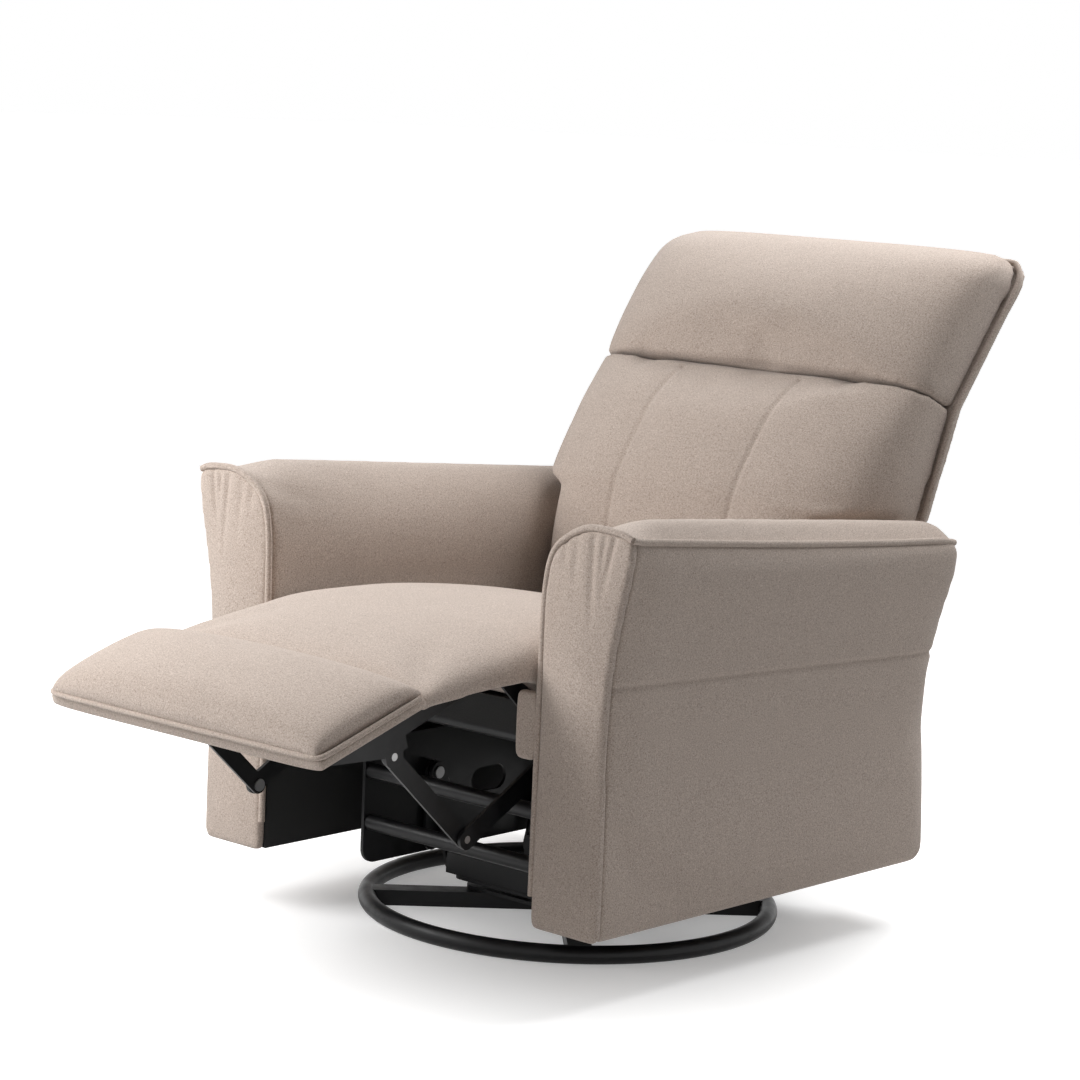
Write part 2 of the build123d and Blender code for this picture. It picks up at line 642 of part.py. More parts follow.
def back_half_width(z):
    """Half width of the back above the arms, with rounded top corners."""
    flare = max(z - BACK_WING_Z, 0) / (BACK_TOP_Z - BACK_WING_Z)
    into_corner = max(z - BACK_TOP_Z + BACK_CORNER, 0)
    rounding = BACK_CORNER - math.sqrt(BACK_CORNER**2 - into_corner**2)
    return BACK_NARROW + BACK_WING + BACK_FLARE * flare - rounding


def rear_stations(from_rear, low_z, high_z):
    """Points along the back's rear face, a set distance in front of it."""
    heights = [low_z, BACK_REAR_BEND[1], high_z]
    return [(rear_line_y(z) - from_rear, z) for z in heights]


def back_panel():
    """Covered panel over the back's rear, widening behind the arms."""
    corner_z = BACK_TOP_Z - BACK_CORNER
    narrow_heights = [BACK_REAR_FOOT[1] + 8, PANEL_WING_Z]
    wide_heights = [PANEL_WING_Z + PANEL_WING_RISE, BACK_REAR_BEND[1], corner_z, corner_z + 16, corner_z + 27,
                    BACK_REAR_TOP[1]]
    halves = [(z, BACK_NARROW) for z in narrow_heights] + [(z, back_half_width(z)) for z in wide_heights]
    sections = []
    for z, half in halves:
        half -= PANEL_INSET
        rear = rear_line_y(z)
        front = rear - BACK_PANEL_THICK
        corners = [(-half, rear, z), (half, rear, z), (half, front, z), (-half, front, z)]
        sections.append(Wire.make_polygon(corners))
    return Solid.make_loft(sections, ruled=True)


def back_post_face(grow=0.0):
    """Side outline of a back post; grow adds clearance all round."""
    rear = rear_stations(BACK_PANEL_THICK + PAD_GAP - grow, 405 - grow, 880 + grow)
    front = rear_stations(BACK_PANEL_THICK + PAD_GAP + BACK_POST_DEPTH + grow, 405 - grow, 880 + grow)
    return outline(*rear, *reversed(front))


def back_post(grow=0.0):
    """Hardwood post of the back frame."""
    outer = LINK_INNER + grow
    return slab(back_post_face(grow), outer - BACK_POST_WIDTH - 2 * grow, outer)


def back_rail(z, height, grow=0.0):
    """Hardwood rail across the back frame at a given height."""
    levels = (z - grow, z + height + grow)
    rear = [(rear_line_y(level) - BACK_PANEL_THICK - PAD_GAP + grow, level) for level in levels]
    front = [(y - BACK_POST_DEPTH - 2 * grow, level) for y, level in reversed(rear)]
    half = LINK_INNER - BACK_POST_WIDTH
    return slab(outline(*rear, *front), -half, half)


BACK_RAILS = ((420, 50), (655, 46), (832, 44))


def back_hinge_plate():
    """Hinge plate on the post's outer face, down to the back hinge."""
    top = (rear_line_y(520) - BACK_PANEL_THICK - BACK_POST_DEPTH / 2, 520)
    knee = (rear_line_y(425) - BACK_PANEL_THICK - BACK_POST_DEPTH / 2, 425)
    face = strip(knee, top, 38) + strip(knee, BACK_HINGE, 38)
    face -= disc(BACK_HINGE, PIN_DIAMETER + 2 * PIN_CLEARANCE)
    return slab(face, LINK_INNER, LINK_OUTER)


def back_frame_room():
    """Everything that the back's pads are cut away for."""
    grow = PAD_GAP
    room = [back_post(grow), back_rail(*BACK_RAILS[0], grow), back_rail(*BACK_RAILS[1], grow),
            back_rail(*BACK_RAILS[2], grow)]
    plate_top = (rear_line_y(520) - BACK_PANEL_THICK - BACK_POST_DEPTH / 2, 520)
    knee = (rear_line_y(425) - BACK_PANEL_THICK - BACK_POST_DEPTH / 2, 425)
    plate_face = strip(knee, plate_top, 40) + strip(knee, BACK_HINGE, 40)
    room.append(slab(plate_face, LINK_INNER - grow, LINK_OUTER + grow))
    room.append(rod(BACK_HINGE, 2 * HINGE_RELIEF, LINK_INNER - 4, PLATE_OUTER + SLOT_CLEARANCE + 1))
    return room


def back_place(z_rear, front):
    """Placing function for a section from the back panel forward to a front edge point."""
    rear = (rear_line_y(z_rear) - BACK_PANEL_THICK - PAD_GAP, z_rear)
    depth = math.dist(rear, front)
    unit = ((front[0] - rear[0]) / depth, (front[1] - rear[1]) / depth)
    return depth, lambda x, h: (x, rear[0] + h * unit[0], rear[1] + h * unit[1])


def channel_section(z_rear, front, half, crown, groove):
    """Back section whose front has three crowned channels between two sewn grooves."""
    depth, place = back_place(z_rear, front)
    third = CHANNEL_X
    seam = depth + 0.8 * crown - groove
    edge = half - 10
    side_middle, side_crown = (edge + third) / 2, depth + 0.72 * crown
    return [
        (place(-half, 0), place(half, 0)),
        (place(half, 0), place(half + 3, depth / 2), place(edge, depth)),
        (place(edge, depth), place(side_middle, side_crown), place(third, seam)),
        (place(third, seam), place(0, depth + crown), place(-third, seam)),
        (place(-third, seam), place(-side_middle, side_crown), place(-edge, depth)),
        (place(-edge, depth), place(-half - 3, depth / 2), place(-half, 0)),
    ]


def back_cushion():
    """Back pad with three vertical channels: narrow between the arms, wide above them."""
    step = (BACK_WING_Z, (212, 610), 33, 6)
    between = [(345, (186, 390), 8, 1), (430, (172, 455), 28, 5), (545, (190, 575), 34, 6), step]
    above = [step, (650, (250, 668), 30, 5), (712, (330, 752), 8, 2)]
    lower = lofted([channel_section(z, front, BACK_NARROW - 2, crown, groove) for z, front, crown, groove in between])
    upper = lofted([channel_section(z, front, back_half_width(z) - 2, crown, groove)
                    for z, front, crown, groove in above])
    pad = lower + upper
    for room in back_frame_room():
        pad = pad - room - other_side(room)
    return pad


def head_cushion():
    """Head pad above the back pad."""
    stations = [(716, (336, 757), 8), (775, (362, 815), 26), (850, (412, 880), 26), (882, (446, 908), 20),
                (907, (479, 930), 13), (BACK_TOP_Z - 1, (540, 943), 4)]
    sections = []
    for z, front, crown in stations:
        depth, place = back_place(z, front)
        half = back_half_width(z) - 2
        sections.append(pad_section(place, half, half - 10, 3, 0, depth, crown))
    pad = lofted(sections)
    for room in back_frame_room():
        pad = pad - room - other_side(room)
    return pad


def make_nodes():
    """All pieces by node name."""
    nodes = {}
    nodes["base_ring"] = base_ring()
    nodes["base_cross"] = base_cross()
    nodes["swivel_lower_race"] = swivel_plate(RACE_PLATE_X, RACE_PLATE_Y, CROSSBAR_TOP)
    nodes["swivel_balls"] = swivel_balls()
    nodes["swivel_king_pin"] = king_pin()
    nodes["swivel_upper_plate"] = swivel_plate(TURN_PLATE_X, TURN_PLATE_Y, TURN_BOTTOM)
    nodes["glider_channels"] = group([glider_channel(-CHANNEL_Y), glider_channel(CHANNEL_Y)])
    nodes["glider_hangers"] = both_sides(*glider_hangers())
    nodes["glide_top_pins"] = both_sides(glide_top_pin(-GLIDE_PIVOT_Y), glide_top_pin(GLIDE_PIVOT_Y))
    nodes["front_glide_links"] = both_sides(glide_link(-GLIDE_PIVOT_Y))
    nodes["rear_glide_links"] = both_sides(glide_link(GLIDE_PIVOT_Y))
    nodes["glide_low_pins"] = both_sides(glide_low_pin(-GLIDE_PIVOT_Y), glide_low_pin(GLIDE_PIVOT_Y))
    tube_y = CARRIAGE_HALF_LENGTH - CARRIAGE_TUBE_INSET
    nodes["carriage_front_tubes"] = carriage_tubes(-tube_y)
    nodes["carriage_rear_tubes"] = carriage_tubes(tube_y)
    nodes["carriage_brackets"] = both_sides(*carriage_brackets())
    nodes["seat_front_rail"] = seat_cross_rail(RAIL_FRONT_Y)
    nodes["seat_rear_rail"] = seat_cross_rail(SEAT_REAR_Y - 5 - SEAT_RAIL_DEPTH)
    nodes["seat_cushion"] = seat_cushion()
    nodes["rear_panel"] = rear_panel()
    nodes["bridge_pad"] = bridge_pad()
    nodes["foot_board"] = foot_board()
    nodes["foot_pad"] = foot_pad()
    nodes["leg_hinge_pins"] = both_sides(hinge_pin(LEG_HINGE))
    nodes["leg_arm_rivets"] = both_sides(link_rivet(PUSH_PIN))
    nodes["crank_rivets"] = both_sides(link_rivet(CRANK_PIN))
    nodes["drive_tube"] = drive_tube()
    nodes["release_lever"] = release_lever()
    nodes["lever_grip"] = lever_grip()
    nodes["back_panel"] = back_panel()
    nodes["back_posts"] = both_sides(back_post())
    nodes["back_rails"] = group([back_rail(z, height) for z, height in BACK_RAILS])
    nodes["back_hinge_pins"] = both_sides(hinge_pin(BACK_HINGE))
    nodes["back_cushion"] = back_cushion()
    nodes["head_cushion"] = head_cushion()
    sided = {
        "carriage_frame": carriage_frame(), "side_plate": side_plate(), "side_rail": side_rail(),
        "leg_arm": leg_arm(), "crank": crank(), "push_link": push_link(),
        "back_hinge_plate": back_hinge_plate(),
        "arm_front_panel": arm_body(ARM_FRONT_Y, ARM_FRONT_Y + FRONT_PANEL_THICK),
        "arm_pad": arm_pad(), "arm_liner": arm_liner(), "inner_filler": inner_filler(),
    }
    for name, shape in sided.items():
        nodes[name + "_left"] = shape
        nodes[name + "_right"] = other_side(shape)
    for name in ("arm_pad_right", "arm_liner_right"):
        nodes[name] = nodes[name] - lever_bore()
    return nodes


def main():
    """Write one file per node."""
    os.makedirs("parts", exist_ok=True)
    for name, shape in make_nodes().items():
        export_step(shape, f"parts/{name}.step")


main()
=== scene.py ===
"""Looks of the swivel glider recliner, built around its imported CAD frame. Metres, +Z up, chair faces -Y."""
import math

import bpy
import numpy as np
from mathutils import Matrix, Vector


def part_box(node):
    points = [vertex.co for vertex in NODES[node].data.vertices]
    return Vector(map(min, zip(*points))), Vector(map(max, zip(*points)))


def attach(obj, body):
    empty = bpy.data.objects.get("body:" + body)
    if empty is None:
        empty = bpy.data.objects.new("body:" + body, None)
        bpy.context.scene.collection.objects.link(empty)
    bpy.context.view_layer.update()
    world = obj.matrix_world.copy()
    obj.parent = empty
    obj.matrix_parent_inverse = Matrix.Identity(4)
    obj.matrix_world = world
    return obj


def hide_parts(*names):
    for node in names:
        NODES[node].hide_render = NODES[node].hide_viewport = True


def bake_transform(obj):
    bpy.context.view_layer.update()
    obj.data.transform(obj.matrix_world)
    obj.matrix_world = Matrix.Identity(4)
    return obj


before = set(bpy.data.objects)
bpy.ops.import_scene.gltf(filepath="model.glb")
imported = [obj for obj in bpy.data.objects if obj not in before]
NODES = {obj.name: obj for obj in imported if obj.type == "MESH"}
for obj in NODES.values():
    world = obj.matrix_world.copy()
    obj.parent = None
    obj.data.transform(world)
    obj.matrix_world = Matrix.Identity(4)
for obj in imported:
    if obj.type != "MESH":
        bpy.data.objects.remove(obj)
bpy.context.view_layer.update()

# Camera fitted to the photograph
CAMERA_PLACE = (2.7992, -3.2195, 1.1369)
CAMERA_AZIMUTH, CAMERA_ELEVATION, CAMERA_ROLL = 41.82, 8.225, 2.492
CAMERA_LENS, CAMERA_SENSOR = 103.88, 36.0

# Sizes read from the frame
ARM_LOW, ARM_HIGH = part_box("arm_pad_left")
PANEL_LOW, PANEL_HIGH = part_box("arm_front_panel_left")
BACK_LOW, BACK_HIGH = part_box("back_panel")
ARM_X = ARM_LOW.x
ARM_LIP_X = ARM_HIGH.x
ARM_FOOT_Z = ARM_LOW.z
PANEL_FRONT_Y, PANEL_REAR_Y = PANEL_LOW.y, PANEL_HIGH.y
ARM_REAR_Y = ARM_HIGH.y

# Sizes of the upholstery
ARM_WIDTH = 0.112
ARM_TOP_FRONT, ARM_TOP_REAR = 0.601, 0.549
ARM_CROWN, FRONT_CROWN = 0.021, 0.007
ARM_INSET, ARM_END, ARM_END_DEPTH, ARM_END_INSET = 0.003, 0.024, 0.022, 0.020
SEAM_DEPTH, SEAM_WIDTH = 0.0028, 0.0042
PIPING = 0.0046
SIDE_SEAM_FRONT_Z, SIDE_SEAM_REAR_Z = 0.412, 0.386
PAD_HALF = ARM_X - 0.003
BOARD_REAR = Vector((0.0, -0.556, 0.391))
BOARD_SLOPE = math.radians(18.0)
BOARD_THICK, BOARD_PIPING = 0.020, 0.0034
BOARD_STATIONS = (-0.002, 0.0, 0.004, 0.02, 0.09, 0.16, 0.178, 0.181, 0.182)
BOARD_END_TIGHT = 0.004
SEAT_MARGIN, SEAT_SIDE_PLAY = 0.004, 0.0015
SEAT_PIN_REAR_Y, SEAT_PIN_FRONT_Y = 0.13, -0.553
REAR_FOOT, REAR_BEND, REAR_TOP = (0.300, 0.312), (0.447, 0.713), (0.601, 0.916)
BACK_PANEL_THICK, REAR_PUFF = 0.018, 0.008
BACK_NARROW, BACK_WING, BACK_FLARE = 0.244, 0.058, 0.010
PAD_WING_FROM_Z, PAD_WING_RISE = 0.534, 0.026
PANEL_WING_FROM_Z, PANEL_WING_RISE = 0.540, 0.016
BACK_TOP_Z, BACK_CORNER = 0.922, 0.040
CHANNEL_X = 0.108
CHANNEL_DENTS = ((0.0035, 0.028), (0.0032, 0.0040))  # depth, width
NARROW_POWER, WIDE_POWER = 14.0, 5.0  # how boxy the back's section is between and above the arms
BACK_MARGIN, PANEL_MARGIN, BACK_PIN_DEPTH, HEAD_SEAM_GAP = 0.005, 0.002, 0.010, 0.0008
HEAD_SEAM_REAR, HEAD_SEAM_FRONT = (0.429, 0.7145), (0.339, 0.756)

# Cloth simulation
SIM_FRAMES = 20
SIM_PRESSURE, ARM_PRESSURE, FRONT_PRESSURE = 4.0, 2.0, 3.0
SWELL_TURNS, CREASE_SHARE = 36, 0.25
PAD_CAP, ARM_CAP, FRONT_CAP = 0.024, 0.006, 0.010  # furthest that a point may swell
PAD_VOXEL, FOOT_VOXEL, ARM_VOXEL, FRONT_VOXEL = 0.0065, 0.005, 0.006, 0.005
FILLER_VOXEL, PANEL_VOXEL = 0.004, 0.006


def link_object(name, mesh):
    """New object of a mesh in the scene."""
    obj = bpy.data.objects.new(name, mesh)
    bpy.context.scene.collection.objects.link(obj)
    return obj


def coordinates(mesh):
    """Vertex places as an array."""
    co = np.zeros(len(mesh.vertices) * 3, np.float32)
    mesh.vertices.foreach_get("co", co)
    return co.reshape(-1, 3).astype(float)


def set_coordinates(mesh, co):
    """Write vertex places back."""
    mesh.vertices.foreach_set("co", co.astype(np.float32).ravel())
    mesh.update()


def normals(mesh):
    """Vertex normals as an array."""
    n = np.zeros(len(mesh.vertices) * 3, np.float32)
    mesh.vertex_normals.foreach_get("vector", n)
    return n.reshape(-1, 3).astype(float)


def through(rows, count):
    """Smooth curve through rows of numbers, evenly sampled from the first row to the last."""
    rows = np.array(rows, float)
    slopes = np.gradient(rows, axis=0)
    t = np.linspace(0, len(rows) - 1, count)
    i = np.minimum(t.astype(int), len(rows) - 2)
    f = (t - i)[:, None]
    return ((2 * f**3 - 3 * f**2 + 1) * rows[i] + (f**3 - 2 * f**2 + f) * slopes[i]
            + (3 * f**2 - 2 * f**3) * rows[i + 1] + (f**3 - f**2) * slopes[i + 1])


def step(value, low, high):
    """Smooth rise from 0 at low to 1 at high."""
    t = np.clip((np.asarray(value, float) - low) / (high - low), 0, 1)
    return t * t * (3 - 2 * t)


def skin(name, rings):
    """Closed mesh through rings of equally many points."""
    count = len(rings[0])
    points = [tuple(p) for ring in rings for p in ring]
    faces = []
    for r in range(len(rings) - 1):
        for k in range(count):
            nxt = (k + 1) % count
            faces.append((r * count + k, r * count + nxt, (r + 1) * count + nxt, (r + 1) * count + k))
    faces.append(tuple(reversed(range(count))))
    faces.append(tuple(range((len(rings) - 1) * count, len(rings) * count)))
    mesh = bpy.data.meshes.new(name)
    mesh.from_pydata(points, [], faces)
    mesh.validate()
    mesh.update()
    return link_object(name, mesh)


def pad_ring(half, base, edge, crown, power=4.6, belly=0.004, count=72):
    """Points (x, h) of a pad's section: flat base, rounded shoulders, crowned top."""
    points = []
    for k in range(count):
        turn = 2 * math.pi * k / count
        c, s = math.cos(turn), math.sin(turn)
        x = half * math.copysign(abs(c) ** (2 / power), c)
        lift = abs(s) ** (2 / power)
        top = edge - base + crown * (1 - (x / half) ** 2)
        points.append((x, base + (top if s > 0 else -belly) * lift))
    return points


def bake(obj):
    """Replace an object's mesh by what its modifiers make of it."""
    graph = bpy.context.evaluated_depsgraph_get()
    mesh = bpy.data.meshes.new_from_object(obj.evaluated_get(graph))
    obj.modifiers.clear()
    obj.data = mesh
    return obj


def remesh(obj, voxel):
    """Even out a mesh to small faces of one size."""
    modifier = obj.modifiers.new("remesh", "REMESH")
    modifier.mode = "VOXEL"
    modifier.voxel_size = voxel
    return bake(obj)


def evened(values, mesh, fixed, turns):
    """Values evened out along a mesh's edges; fixed points keep theirs."""
    ends = np.zeros(len(mesh.edges) * 2, np.int32)
    mesh.edges.foreach_get("vertices", ends)
    a, b = ends[0::2], ends[1::2]
    count = len(values)
    links = np.maximum(np.bincount(ends, minlength=count), 1)
    for _ in range(turns):
        around = np.stack([np.bincount(a, column[b], count) + np.bincount(b, column[a], count)
                           for column in values.T], axis=1)
        values = np.where(fixed[:, None], values, (values + around / links[:, None]) / 2)
    return values


def inflate(obj, cap, pinned, limit=None, pressure=SIM_PRESSURE):
    """Swell a pad as cloth under pressure; no point moves further than cap, and pinned ones stay."""
    rest = coordinates(obj.data)
    fixed = pinned(rest)
    group = obj.vertex_groups.new(name="pin")
    group.add([int(i) for i in np.nonzero(fixed)[0]], 1.0, "REPLACE")
    modifier = obj.modifiers.new("cloth", "CLOTH")
    cloth = modifier.settings
    cloth.quality = 4
    cloth.mass = 0.25
    cloth.tension_stiffness = cloth.compression_stiffness = 12
    cloth.shear_stiffness = 4
    cloth.bending_stiffness = 9.0
    cloth.use_pressure = True
    cloth.uniform_pressure_force = pressure
    cloth.vertex_group_mass = "pin"
    cloth.effector_weights.gravity = 0
    modifier.collision_settings.use_collision = False
    modifier.point_cache.frame_start = 1
    modifier.point_cache.frame_end = SIM_FRAMES
    for number in range(1, SIM_FRAMES + 1):
        bpy.context.scene.frame_set(number)
    bake(obj)
    bpy.context.scene.frame_set(1)
    obj.vertex_groups.clear()
    moved = coordinates(obj.data) - rest
    far = np.linalg.norm(moved, axis=1)
    moved *= np.minimum(1, cap / np.maximum(far, 1e-9))[:, None]
    swell = evened(moved, obj.data, fixed, SWELL_TURNS)
    rest = rest + swell + CREASE_SHARE * (moved - swell)
    if limit is not None:
        limit(rest)
    set_coordinates(obj.data, rest)
    return obj


def refine(obj, smooth=10):
    """One subdivision and a little smoothing, applied."""
    modifier = obj.modifiers.new("subdivide", "SUBSURF")
    modifier.levels = modifier.render_levels = 1
    softener = obj.modifiers.new("smooth", "SMOOTH")
    softener.factor, softener.iterations = 0.5, smooth
    bake(obj)
    obj.data.shade_smooth()
    return obj


def sink(obj, distance, depth, width, mask=1.0):
    """Sewn seam: push the surface in where distance is small."""
    co = coordinates(obj.data)
    d = distance(co)
    push = depth * np.exp(-((d / width) ** 2)) * (mask(co) if callable(mask) else mask)
    set_coordinates(obj.data, co - normals(obj.data) * push[:, None])
    return obj


def piping(name, points, radius=PIPING):
    """Round piping along points, as a mesh."""
    curve = bpy.data.curves.new(name, "CURVE")
    curve.dimensions = "3D"
    curve.bevel_depth = radius
    curve.bevel_resolution = 3
    curve.use_fill_caps = True
    curve.resolution_u = 4
    spline = curve.splines.new("NURBS")
    spline.points.add(len(points) - 1)
    for spot, p in zip(spline.points, points):
        spot.co = (*p, 1.0)
    spline.order_u = 3
    spline.use_endpoint_u = True
    source = link_object(name + "_line", curve)
    graph = bpy.context.evaluated_depsgraph_get()
    mesh = bpy.data.meshes.new_from_object(source.evaluated_get(graph))
    bpy.data.objects.remove(source)
    mesh.shade_smooth()
    return link_object(name, mesh)


def snap(obj, points, lift):
    """Points brought onto a piece's surface, and a little out of it."""
    snapped = []
    for p in points:
        _, place, normal, _ = obj.closest_point_on_mesh(Vector(p))
        snapped.append(place + normal * lift)
    return snapped


def mirrored(obj, name):
    """The same piece on the other side."""
    mesh = obj.data.copy()
    mesh.transform(Matrix.Scale(-1, 4, (1, 0, 0)))
    mesh.flip_normals()
    return link_object(name, mesh)


# Materials


def shader(name):
    """New node material and its main shader."""
    material = bpy.data.materials.new(name)
    material.use_nodes = True
    nodes, links = material.node_tree.nodes, material.node_tree.links
    return material, nodes, links, nodes["Principled BSDF"]


def scaled_place(nodes, links, scale):
    """Object coordinates stretched by a scale for each axis."""
    place = nodes.new("ShaderNodeTexCoord")
    mapping = nodes.new("ShaderNodeMapping")
    mapping.inputs["Scale"].default_value = scale
    links.new(place.outputs["Object"], mapping.inputs["Vector"])
    return mapping.outputs["Vector"]


def noise(nodes, links, scale, detail=3.0, roughness=0.6):
    """Noise pattern at a scale for each axis."""
    texture = nodes.new("ShaderNodeTexNoise")
    texture.inputs["Scale"].default_value = 1.0
    texture.inputs["Detail"].default_value = detail
    texture.inputs["Roughness"].default_value = roughness
    links.new(scaled_place(nodes, links, scale), texture.inputs["Vector"])
    return texture.outputs["Fac"]


def ramp(nodes, links, factor, stops):
    """Colours by a factor."""
    node = nodes.new("ShaderNodeValToRGB")
    for element, (position, colour) in zip(node.color_ramp.elements, (stops[0], stops[-1])):
        element.position, element.color = position, (*colour, 1)
    for position, colour in stops[1:-1]:
        node.color_ramp.elements.new(position).color = (*colour, 1)
    links.new(factor, node.inputs["Fac"])
    return node.outputs["Color"]


def blend_colour(nodes, links, kind, share, a, b):
    """Mix of two colours."""
    node = nodes.new("ShaderNodeMix")
    node.data_type, node.blend_type = "RGBA", kind
    node.inputs["Factor"].default_value = share
    links.new(a, node.inputs["A"])
    links.new(b, node.inputs["B"])
    return node.outputs["Result"]


def add_bump(nodes, links, main, height, strength, distance):
    """Bump from a height pattern."""
    bump = nodes.new("ShaderNodeBump")
    bump.inputs["Strength"].default_value = strength
    bump.inputs["Distance"].default_value = distance
    links.new(height, bump.inputs["Height"])
    links.new(bump.outputs["Normal"], main.inputs["Normal"])


def grey(value):
    """Colour of three equal parts."""
    return (value, value, value)


def felted_fabric():
    """Brushed wool-look melange: pale and dark fibres over a taupe ground."""
    material, nodes, links, main = shader("upholstery_fabric")
    flecks = noise(nodes, links, (520, 520, 520), 4.0, 0.85)
    fibres = noise(nodes, links, (1500, 420, 900), 2.0)
    clouds = noise(nodes, links, (22, 22, 22), 2.0)
    ground = ramp(nodes, links, flecks, [(0.30, (0.190, 0.140, 0.110)), (0.44, (0.455, 0.368, 0.312)),
                                         (0.54, (0.530, 0.440, 0.380)), (0.72, (0.760, 0.675, 0.610))])
    strands = ramp(nodes, links, fibres, [(0.3, grey(0.80)), (0.7, grey(1.10))])
    soft = ramp(nodes, links, clouds, [(0.35, grey(0.985)), (0.65, grey(1.015))])
    colour = blend_colour(nodes, links, "MULTIPLY", 1.0, ground, strands)
    links.new(blend_colour(nodes, links, "MULTIPLY", 1.0, colour, soft), main.inputs["Base Color"])
    main.inputs["Roughness"].default_value = 0.94
    main.inputs["Specular IOR Level"].default_value = 0.18
    main.inputs["Sheen Weight"].default_value = 0.22
    main.inputs["Sheen Roughness"].default_value = 0.55
    add_bump(nodes, links, main, flecks, 0.7, 0.0011)
    return material


def powder_coat():
    """Black semi-gloss powder coat with a fine orange peel."""
    material, nodes, links, main = shader("black_powder_coat")
    peel = noise(nodes, links, (900, 900, 900), 2.0)
    dust = noise(nodes, links, (35, 35, 35), 3.0)
    links.new(ramp(nodes, links, dust, [(0.35, (0.004, 0.004, 0.0045)), (0.7, (0.008, 0.008, 0.009))]),
              main.inputs["Base Color"])
    links.new(ramp(nodes, links, dust, [(0.3, grey(0.34)), (0.7, grey(0.48))]), main.inputs["Roughness"])
    main.inputs["Specular IOR Level"].default_value = 0.28
    add_bump(nodes, links, main, peel, 0.15, 0.0004)
    return material


def liner_and_shade_cloth():
    """Black non-woven cloth with fine fibres: the arm liners' own colour, and painted shade on the seat rails
    and the rear board.
    """
    material, nodes, links, main = shader("black_liner_and_painted_shade")
    fibres = noise(nodes, links, (700, 700, 700), 3.0)
    links.new(ramp(nodes, links, fibres, [(0.3, grey(0.006)), (0.7, grey(0.018))]), main.inputs["Base Color"])
    main.inputs["Roughness"].default_value = 0.9
    add_bump(nodes, links, main, fibres, 0.4, 0.0006)
    return material


def hardwood():
    """Sawn beech with long grain."""
    material, nodes, links, main = shader("frame_beech")
    grain = noise(nodes, links, (90, 9, 90), 5.0)
    pores = noise(nodes, links, (1200, 90, 1200), 2.0)
    wood = ramp(nodes, links, grain, [(0.3, (0.42, 0.27, 0.15)), (0.6, (0.56, 0.39, 0.23)),
                                      (0.8, (0.62, 0.45, 0.28))])
    dark = ramp(nodes, links, pores, [(0.35, grey(0.8)), (0.55, grey(1.0))])
    links.new(blend_colour(nodes, links, "MULTIPLY", 1.0, wood, dark), main.inputs["Base Color"])
    main.inputs["Roughness"].default_value = 0.7
    add_bump(nodes, links, main, pores, 0.3, 0.0005)
    return material


def bright_metal(name, tone, rough):
    """Plated or polished steel with faint turning marks."""
    material, nodes, links, main = shader(name)
    marks = noise(nodes, links, (60, 1400, 1400), 3.0)
    colour = ramp(nodes, links, marks, [(0.3, grey(tone * 0.85)), (0.7, grey(tone))])
    links.new(colour, main.inputs["Base Color"])
    wear = ramp(nodes, links, marks, [(0.3, grey(rough)), (0.7, grey(rough + 0.12))])
    links.new(wear, main.inputs["Roughness"])
    main.inputs["Metallic"].default_value = 1.0
    return material


def grip_plastic():
    """Black moulded plastic with a fine grain."""
    material, nodes, links, main = shader("black_grip_plastic")
    grain = noise(nodes, links, (1600, 1600, 1600), 2.0)
    links.new(ramp(nodes, links, grain, [(0.3, grey(0.016)), (0.7, grey(0.028))]), main.inputs["Base Color"])
    main.inputs["Roughness"].default_value = 0.5
    add_bump(nodes, links, main, grain, 0.3, 0.0003)
    return material


FABRIC = felted_fabric()
COAT = powder_coat()
LINER_AND_SHADE_BLACK = liner_and_shade_cloth()
WOOD = hardwood()
ZINC = bright_metal("zinc_plate", 0.42, 0.32)
BEARING = bright_metal("bearing_steel", 0.72, 0.12)
GRIP = grip_plastic()
WOODEN_NODES = ("seat_rear_rail", "back_posts", "back_rails")
# Arm liners are black cloth; the seat's side and front rails get the same black as painted shade under the
# seat.
LINER_AND_SHADE_NODES = ("side_rail_left", "side_rail_right", "seat_front_rail", "arm_liner_left", "arm_liner_right")
ZINC_NODES = ("leg_hinge_pins", "back_hinge_pins", "leg_arm_rivets", "crank_rivets", "glide_top_pins",
              "glide_low_pins", "swivel_king_pin")


def dress_frame():
    """Node materials on the CAD pieces that stay in view."""
    for name, node in NODES.items():
        material = COAT
        if name in WOODEN_NODES:
            material = WOOD
        elif name in ZINC_NODES:
            material = ZINC
        elif name == "swivel_balls":
            material = BEARING
        elif name == "lever_grip":
            material = GRIP
        # painted shade: seat rails made black where shade falls under the seat
        elif name in LINER_AND_SHADE_NODES:
            material = LINER_AND_SHADE_BLACK
        node.data.materials.clear()
        node.data.materials.append(material)


def upholster(obj, body, *nodes, fill=None):
    """Fabric piece that rides a body and stands for CAD nodes."""
    obj.data.materials.clear()
    obj.data.materials.append(FABRIC)
    if body is not None:
        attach(obj, body)
    if nodes:
        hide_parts(*nodes)
    return obj


# Seat and bridge, one pad in a fixed shape up to the leg rest hinge

SEAT_ROWS = [  # y, base, edge, crown
    (0.141, 0.326, 0.382, 0.006), (0.060, 0.330, 0.412, 0.010), (-0.060, 0.338, 0.436, 0.011),
    (-0.200, 0.350, 0.454, 0.010), (-0.290, 0.366, 0.457, 0.009), (-0.350, 0.401, 0.454, 0.009),
    (-0.410, 0.404, 0.443, 0.010), (-0.470, 0.400, 0.434, 0.010), (-0.525, 0.395, 0.427, 0.009),
    (-0.550, 0.392, 0.416, 0.005), (-0.560, 0.390, 0.402, 0.001)]


